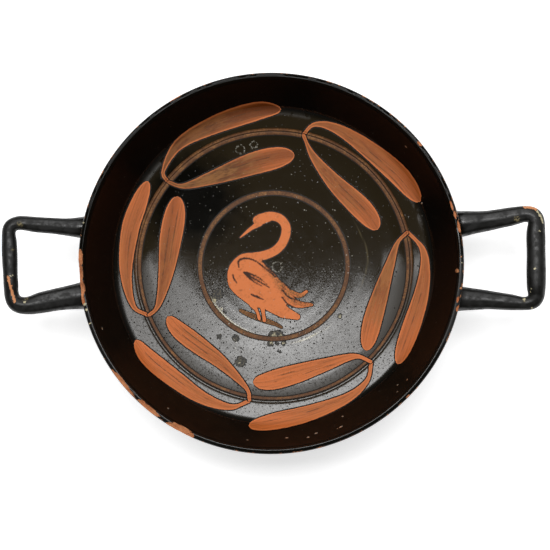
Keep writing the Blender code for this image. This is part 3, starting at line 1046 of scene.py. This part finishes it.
def leaf_look(n, kind):
    """Margin inside the leaves of one kind, and their clay with its brush streaks."""
    along, across, half = n.parts(n.attribute("leaf_" + kind, "Vector"))
    dull, back_shade, stroke = n.parts(n.attribute("look_" + kind, "Vector"))
    margin = n.plus(n.minus(half, n.off(across, 0.0)), n.times(n.wobble, 0.5))
    apart = n.times(stroke, 7.3)
    streaks = n.noise(n.together(n.times(along, 2.6), across, apart), 0.75, 3.0, 0.65)
    mottle = n.noise(n.together(n.times(along, 14.0), across, apart), 2.2, 4.0, 0.7)
    clay = n.colour(n.times(n.between(streaks, 0.42, 0.68), 0.85), CLAY, CLAY_STREAK)
    by_stroke = n.between(n.plus(n.off(across, stroke), n.wobble), 4.2, 0.8, 0.5, 1.05)
    # Painted shade: the leaf's second look value darkens it towards CLAY_DARK, most along its brush stroke;
    # the back leaves get the most
    clay = n.colour(n.times(back_shade, by_stroke), clay, CLAY_DARK)
    in_middle = n.times(n.between(along, 0.25, 0.4), n.between(along, 0.93, 0.84), 0.8)
    for shift, part in ((0.0, mottle), (-2.7, streaks)):
        off = n.plus(n.off(across, n.plus(stroke, shift)), n.wobble)
        drawn = n.times(n.between(off, 0.45, 0.05), n.between(part, 0.44, 0.56), in_middle)
        clay = n.colour(drawn, clay, CLAY_LINE)
    clay = n.colour(n.times(n.between(margin, 1.0, 0.3), 0.8), clay, CLAY_BRIGHT)
    near_stem = n.between(n.plus(along, n.times(mottle, 0.7)), 1.25, 0.85)
    dulled = n.times(dull, near_stem, n.between(margin, 0.1, 1.0, 0.45, 1.0))
    worn = n.colour(n.between(mottle, 0.42, 0.62), CLAY_DULL, CLAY_LINE)
    return margin, n.colour(dulled, clay, worn)


def bird_look(n):
    """Margin inside the bird, and its clay with the painted lines on it."""
    margin = n.plus(n.attribute("bird"), n.times(n.wobble, 0.4))
    patch = n.noise(n.place, 2.6, 4.0, 0.6)
    speckle = n.noise(n.place, 0.8, 3.0, 0.7)
    clay = n.colour(n.between(patch, 0.5, 0.8), CLAY_BRIGHT, CLAY_STREAK)
    shade = n.between(n.plus(n.attribute("bird_shade"), n.times(n.wobble, 5.0)), -1.0, 2.0)
    shade = n.times(shade, n.between(speckle, 0.44, 0.58, 0.25, 0.95))
    clay = n.colour(shade, clay, n.colour(n.between(patch, 0.4, 0.6), CLAY_DULL, CLAY_LINE))
    line = n.plus(n.attribute("bird_lines"), n.times(n.minus(speckle, 0.5), 1.2))
    return margin, n.colour(n.between(line, -0.4, 0.25, 0.0, 0.95), clay, BLACK)


def lay_gloss(n):
    """The gloss: olive black in the middle, black by the back left leaves, and on the front wall a brown that
    is painted reflection of the leaves.
    """
    drift = n.times(n.minus(n.middle, 0.5), 16.0)
    blackest = n.plus(n.vector("DISTANCE", n.place, (-42.0, 34.0, 16.0)), drift)
    olive = n.times(n.between(blackest, 12.0, 34.0), n.between(n.radius, 81.0, 76.5), n.inside)
    n.base = n.colour(olive, BLACK, OLIVE_BLACK)
    wall = n.times(n.between(n.radius, BEND_END[0], BEND_END[0] + 0.7), n.inside)
    # Painted reflection: the inner wall is painted browner towards the front, where it mirrors the leaves
    leaf_reflection = n.times(n.between(n.y, 30.0, -75.0), n.between(n.middle, 0.3, 0.7, 0.55, 1.0))
    n.lay(wall, n.colour(leaf_reflection, WALL_BLACK, LEAF_REFLECTION_BROWN))

    front = n.between(n.plus(n.y, drift), 12.0, -14.0)
    outer = n.between(n.plus(n.radius, drift), 36.0, 58.0)
    left = n.between(n.plus(n.x, drift), 0.0, -50.0)
    n.rough = n.value(n.between(n.middle, 0.3, 0.7), *GLOSS_ROUGH)
    n.lay(n.times(front, n.open_side, outer), rough=n.value(left, *DULL_ROUGH))
    by_step = n.times(n.between(n.radius, 61.0, 63.5), n.between(n.radius, 69.75, 69.55))
    n.lay(n.times(by_step, front), rough=STEP_ROUGH)
    away = n.times(n.turned_away, n.between(n.radius, 54.0, 58.0))
    n.lay(n.times(away, front), rough=AWAY_ROUGH)
    sheen = n.times(n.between(n.radius, 76.0, 78.5), n.between(n.plus(n.y, drift), 12.0, 34.0))
    n.lay(n.times(sheen, n.between(n.middle, 0.36, 0.54)), rough=BEND_ROUGH)
    n.lay(wall, rough=WALL_ROUGH)
    on_handle = n.value(n.between(n.noise(n.place, 3.2, 4.0, 0.65), 0.42, 0.62), *HANDLE_ROUGH)
    n.lay(n.between(n.off(n.x, 0.0), 93.0, 98.0), rough=on_handle)
    n.rough = n.plus(n.rough, n.times(n.between(n.fine, 0.48, 0.66), n.lit, 0.17))


def small_pits(n):
    """Pits of about half a millimetre, some all over the floor and finer ones where it is lit."""
    pits = []
    for pitch, where, widest, least in ((2.6, n.on_floor, 0.17, 0.52), (1.3, n.lit, 0.22, 0.42)):
        away, chance = n.nearest_dot(pitch)
        shape = n.plus(away, n.times(n.wobble, 0.25))
        pits.append(n.times(n.between(shape, widest, widest - 0.08),
                            n.between(n.parts(chance)[1], least, least + 0.08), where))
    share = n.most(*pits)
    n.lay(share, PIT_DARK, CONTOUR_ROUGH)
    return share


def lay_rings(n):
    """The reserved rings between black lines, and the bare clay across the step at the back, with a dark line
    left in its groove as painted shade.
    """
    brown = n.colour(n.between(n.middle, 0.4, 0.64), RING_BROWN, CLAY_DULL)
    clay = n.colour(n.between(n.fine, 0.35, 0.7), brown, RING_DARK)
    for ring, half in ((TONDO_RING, TONDO_RING_HALF), (STEP_RING, STEP_RING_HALF)):
        margin = n.plus(n.minus(half, n.off(n.radius, ring)), n.times(n.wobble, 0.35))
        n.lay(n.times(n.between(margin, -0.50, -0.30), n.inside), BLACK, CONTOUR_ROUGH)
        edged = n.colour(n.between(margin, 0.45, 0.10), clay, RING_DARK)
        n.lay(n.times(n.between(margin, -0.12, 0.12), n.inside), edged, CLAY_ROUGH[0])
    on_step = n.times(n.between(n.radius, 68.4, 68.8), n.between(n.radius, 71.0, 70.6),
                      n.between(n.y, -25.0, 20.0), n.inside)
    # Painted shade: a dark line is left along the step's groove in the bare clay, darker towards the right
    groove_shade = n.between(n.off(n.radius, 69.35), 0.12, 0.35, n.between(n.x, -60.0, 20.0, 0.7, 0.15))
    n.lay(n.times(on_step, groove_shade), clay)
    n.lay(on_step, rough=CLAY_ROUGH[0])
    return clay


def lay_ornament(n, ring_clay):
    """The leaves, the twig and the bird, each inside a black contour."""
    clay_rough = n.value(n.between(n.fine, 0.3, 0.7), *CLAY_ROUGH)
    twig = n.plus(n.attribute("twig"), n.times(n.wobble, 0.5))
    twig_clay = n.colour(n.between(twig, 0.35, 0.1), ring_clay, CLAY_DULL)
    for margin, clay, contour in ((*leaf_look(n, "outer"), 0.62), (*leaf_look(n, "inner"), 0.62),
                                  (twig, twig_clay, 0.4), (*bird_look(n), 0.4)):
        n.lay(n.between(margin, -contour - 0.12, -contour + 0.12), BLACK, CONTOUR_ROUGH)
        n.lay(n.between(margin, -0.10, 0.10), clay, clay_rough)


def losses(n):
    """Pits, losses and deposits at their own places, with uneven edges, and pale lines of painted highlight
    by the ring round the bird.
    """
    loose = loosened(n, n.place, 3.6, 1.6)
    pit, ochre, specks, marks = (blob_margin(n, loose, blobs, bowl_height)
                                 for blobs in (PITS, OCHRE, WALL_SPECKS, RING_MARKS))
    off_ring = n.between(n.off(n.radius, TONDO_RING), TONDO_RING_HALF, TONDO_RING_HALF + 0.3)
    share = n.times(n.between(pit, -0.1, 0.15), off_ring)
    inner = n.colour(n.between(n.fine, 0.46, 0.62), PIT_DARK, PIT_GREY)
    n.lay(share, n.colour(n.between(pit, 0.55, 0.15), inner, BLACK), LOSS_ROUGH)
    pale = n.times(n.between(ochre, -0.1, 0.5), n.between(n.fine, 0.36, 0.6, 0.25, 0.85))
    # Painted highlight: pale lines along the edges of the ring round the bird, on its lit front side
    gleam = n.between(n.attribute("gleam"), -0.2, 0.6, 0.0, 0.6)
    n.lay(n.times(n.most(pale, gleam), off_ring), YELLOWISH)
    n.lay(n.between(n.attribute("stain"), -0.4, 0.7, 0.0, 0.3), DEPOSIT)
    circle = n.between(n.off(marks, 0.0), 0.5, 0.1)
    n.lay(n.times(circle, n.between(n.fine, 0.44, 0.58, 0.0, 0.6)), SPECK)
    n.lay(n.between(specks, -0.1, 0.1), n.colour(n.between(n.fine, 0.4, 0.6), BROKEN, SPECK))
    return share


def bare_places(n):
    """Bare clay on the handles' tops and the lip, the worn outer edge of the lip, and a painted highlight on
    the right handle's corner.
    """
    below_top = n.times(n.most(n.minus(HANDLE_TOP - 3.5, n.z), 0.0), 2.0)
    flat = loosened(n, n.together(n.x, n.y, below_top), 3.0, 1.3)
    smudged = n.between(blob_margin(n, flat, HANDLE_SMUDGES), -0.5, 0.9)
    n.lay(n.times(smudged, 0.75), n.colour(n.between(n.fine, 0.42, 0.6), BLACK, DEPOSIT))
    # The pale streak on the right handle's corner is a painted highlight; the others are pale specks
    specks = n.most(blob_margin(n, flat, HANDLE_SPECKS), streak_margin(n, flat, CORNER_HIGHLIGHT, 0.4))
    n.lay(n.between(specks, -0.1, 0.15), YELLOWISH)
    streaks = n.most(streak_margin(n, flat, HANDLE_STREAK, 0.75),
                     streak_margin(n, flat, CORNER_STREAK, 0.8), blob_margin(n, flat, LIP_SPECKS))
    worn = n.times(n.between(n.radius, 94.2, 94.7), n.between(n.z, RIM_HEIGHT - 2.6, RIM_HEIGHT - 1.6),
                   n.between(n.noise(n.place, 2.6, 3.0, 0.7), 0.54, 0.64),
                   n.between(n.off(n.x, 0.0), 96.0, 95.6))
    n.lay(n.most(n.between(streaks, -0.1, 0.15), worn), BROKEN, BARE_ROUGH)


def dusted(n):
    """White specks and short scratches, most of them in the middle of the bowl."""
    marks = []
    for pitch, rare, least, most, palest in ((3.2, 0.62, 0.05, 0.12, 0.9), (1.7, 0.52, 0.08, 0.15, 0.75)):
        away, dot_colour = n.nearest_dot(pitch)
        chance, size, bright = n.parts(dot_colour)
        reach = n.times(n.between(size, 0.2, 1.0, least, most), n.between(n.fine, 0.3, 0.7, 0.7, 1.3))
        marks.append(n.times(n.math("LESS_THAN", away, reach), n.between(chance, rare, rare + 0.06),
                             n.between(bright, 0.0, 1.0, 0.2, palest)))
    turned = n.add("VectorRotate", n.place, rotation_type="Z_AXIS")
    turned.inputs["Angle"].default_value = 0.9
    along = n.vector("MULTIPLY", turned.outputs[0], (0.18, 1.0, 1.0))
    marks.append(n.between(n.noise(along, 0.55, 2.0, 0.5), 0.74, 0.80, 0.0, 0.30))
    n.lay(n.times(n.most(*marks), n.between(n.radius, 66.0, 30.0, 0.12, 1.0), n.inside), SPECK)


def painted_gloss(name, specular):
    """Black gloss over the whole cup, with the ornament reserved in the clay's colour."""
    n = Gloss(name)
    lay_gloss(n)
    small = small_pits(n)
    lay_ornament(n, lay_rings(n))
    lost = losses(n)
    bare_places(n)
    dusted(n)
    normal = n.bump(n.most(lost, small), -0.10)
    for height, depth in ((n.fine, 0.003), (n.times(n.fine, n.lit), 0.006), (n.middle, 0.003)):
        normal = n.bump(height, depth, normal)
    return n.shade({"Base Color": n.base, "Roughness": n.rough, "Normal": normal, "IOR": 1.5,
                    "Specular IOR Level": specular})


# The stage

CAMERA_PLACE = (44.33, -39.22, 1053.3)
CAMERA_TARGET = (2.14, -5.91, 50.0)
CAMERA_LENS = 132.6
LAMP_DISTANCE = 1500.0
LAMP_TILT = 14.0
LAMP_AZIMUTH = 91.0
LAMP_TURN = 2.0
LAMP_SIZE = (1090.0, 530.0)
LAMP_POWER = 20.0
ZENITH_GLOW = 0.12
HORIZON_GLOW = 1.4
FLOOR_GLOW = 0.70


def looking(place, target, up):
    """A matrix in metres at place, looking along -Z to target, with +Y as near up as may be."""
    place, target = Vector(place), Vector(target)
    back = (place - target).normalized()
    right = Vector(up).cross(back).normalized()
    turned = Matrix((right, back.cross(right), back)).transposed().to_4x4()
    return Matrix.Translation(place * MM) @ turned


def camera():
    data = bpy.data.cameras.new("camera")
    data.sensor_width = 36
    data.lens = CAMERA_LENS
    data.clip_start = 0.05
    data.clip_end = 20
    viewer = linked("camera", data)
    viewer.matrix_world = looking(CAMERA_PLACE, CAMERA_TARGET, (0, 1, 0))
    bpy.context.scene.camera = viewer


def lamp():
    """A soft box that faces the cup from a tilt off vertical, over the back of it."""
    tilt, azimuth, turn = (math.radians(angle) for angle in (LAMP_TILT, LAMP_AZIMUTH, LAMP_TURN))
    out = math.sin(tilt)
    place = LAMP_DISTANCE * Vector((out * math.cos(azimuth), out * math.sin(azimuth), math.cos(tilt)))
    data = bpy.data.lights.new("soft_box", "AREA")
    data.shape = "RECTANGLE"
    data.size, data.size_y = (side * MM for side in LAMP_SIZE)
    data.energy = LAMP_POWER
    light = linked("soft_box", data)
    light.matrix_world = looking(place, (0, 0, 20), (-math.sin(turn), math.cos(turn), 0))


def floor():
    """A wide pale floor under the foot."""
    bpy.ops.mesh.primitive_plane_add(size=12)
    sheet = bpy.context.object
    sheet.name = "floor"
    sheet.location.z = -0.0002
    sheet.data.materials.append(Nodes("floor_white").shade({
        "Base Color": (0.86, 0.86, 0.86, 1), "Roughness": 0.9, "Specular IOR Level": 0.0,
        "Emission Color": (1, 1, 1, 1), "Emission Strength": FLOOR_GLOW}))


def surroundings():
    """A room that is dark overhead and pale towards the horizon."""
    world = bpy.data.worlds.new("surroundings")
    world.use_nodes = True
    tree = world.node_tree
    direction = tree.nodes.new("ShaderNodeTexCoord")
    split = tree.nodes.new("ShaderNodeSeparateXYZ")
    glow = tree.nodes.new("ShaderNodeMapRange")
    glow.interpolation_type = "SMOOTHSTEP"
    for socket, value in zip(list(glow.inputs)[1:5], (0.85, 0.25, ZENITH_GLOW, HORIZON_GLOW)):
        socket.default_value = value
    tree.links.new(direction.outputs["Generated"], split.inputs[0])
    tree.links.new(split.outputs["Z"], glow.inputs["Value"])
    tree.links.new(glow.outputs[0], tree.nodes["Background"].inputs["Strength"])
    bpy.context.scene.world = world
    bpy.context.scene.view_settings.view_transform = "Standard"


def main():
    camera()
    floor()
    surroundings()
    lamp()
    clay = broken_clay()
    gloss = painted_gloss("painted_gloss", 0.5)
    cup = cup_piece(gloss, clay)
    coat_wall(cup, gloss, painted_gloss("wall_gloss", WALL_SPECULAR))
    paint_values(cup)
    cup.data.shade_smooth()
    cup.data.set_sharp_from_angle(angle=math.radians(50))
    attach(cup, "root")
    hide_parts("kylix")


main()
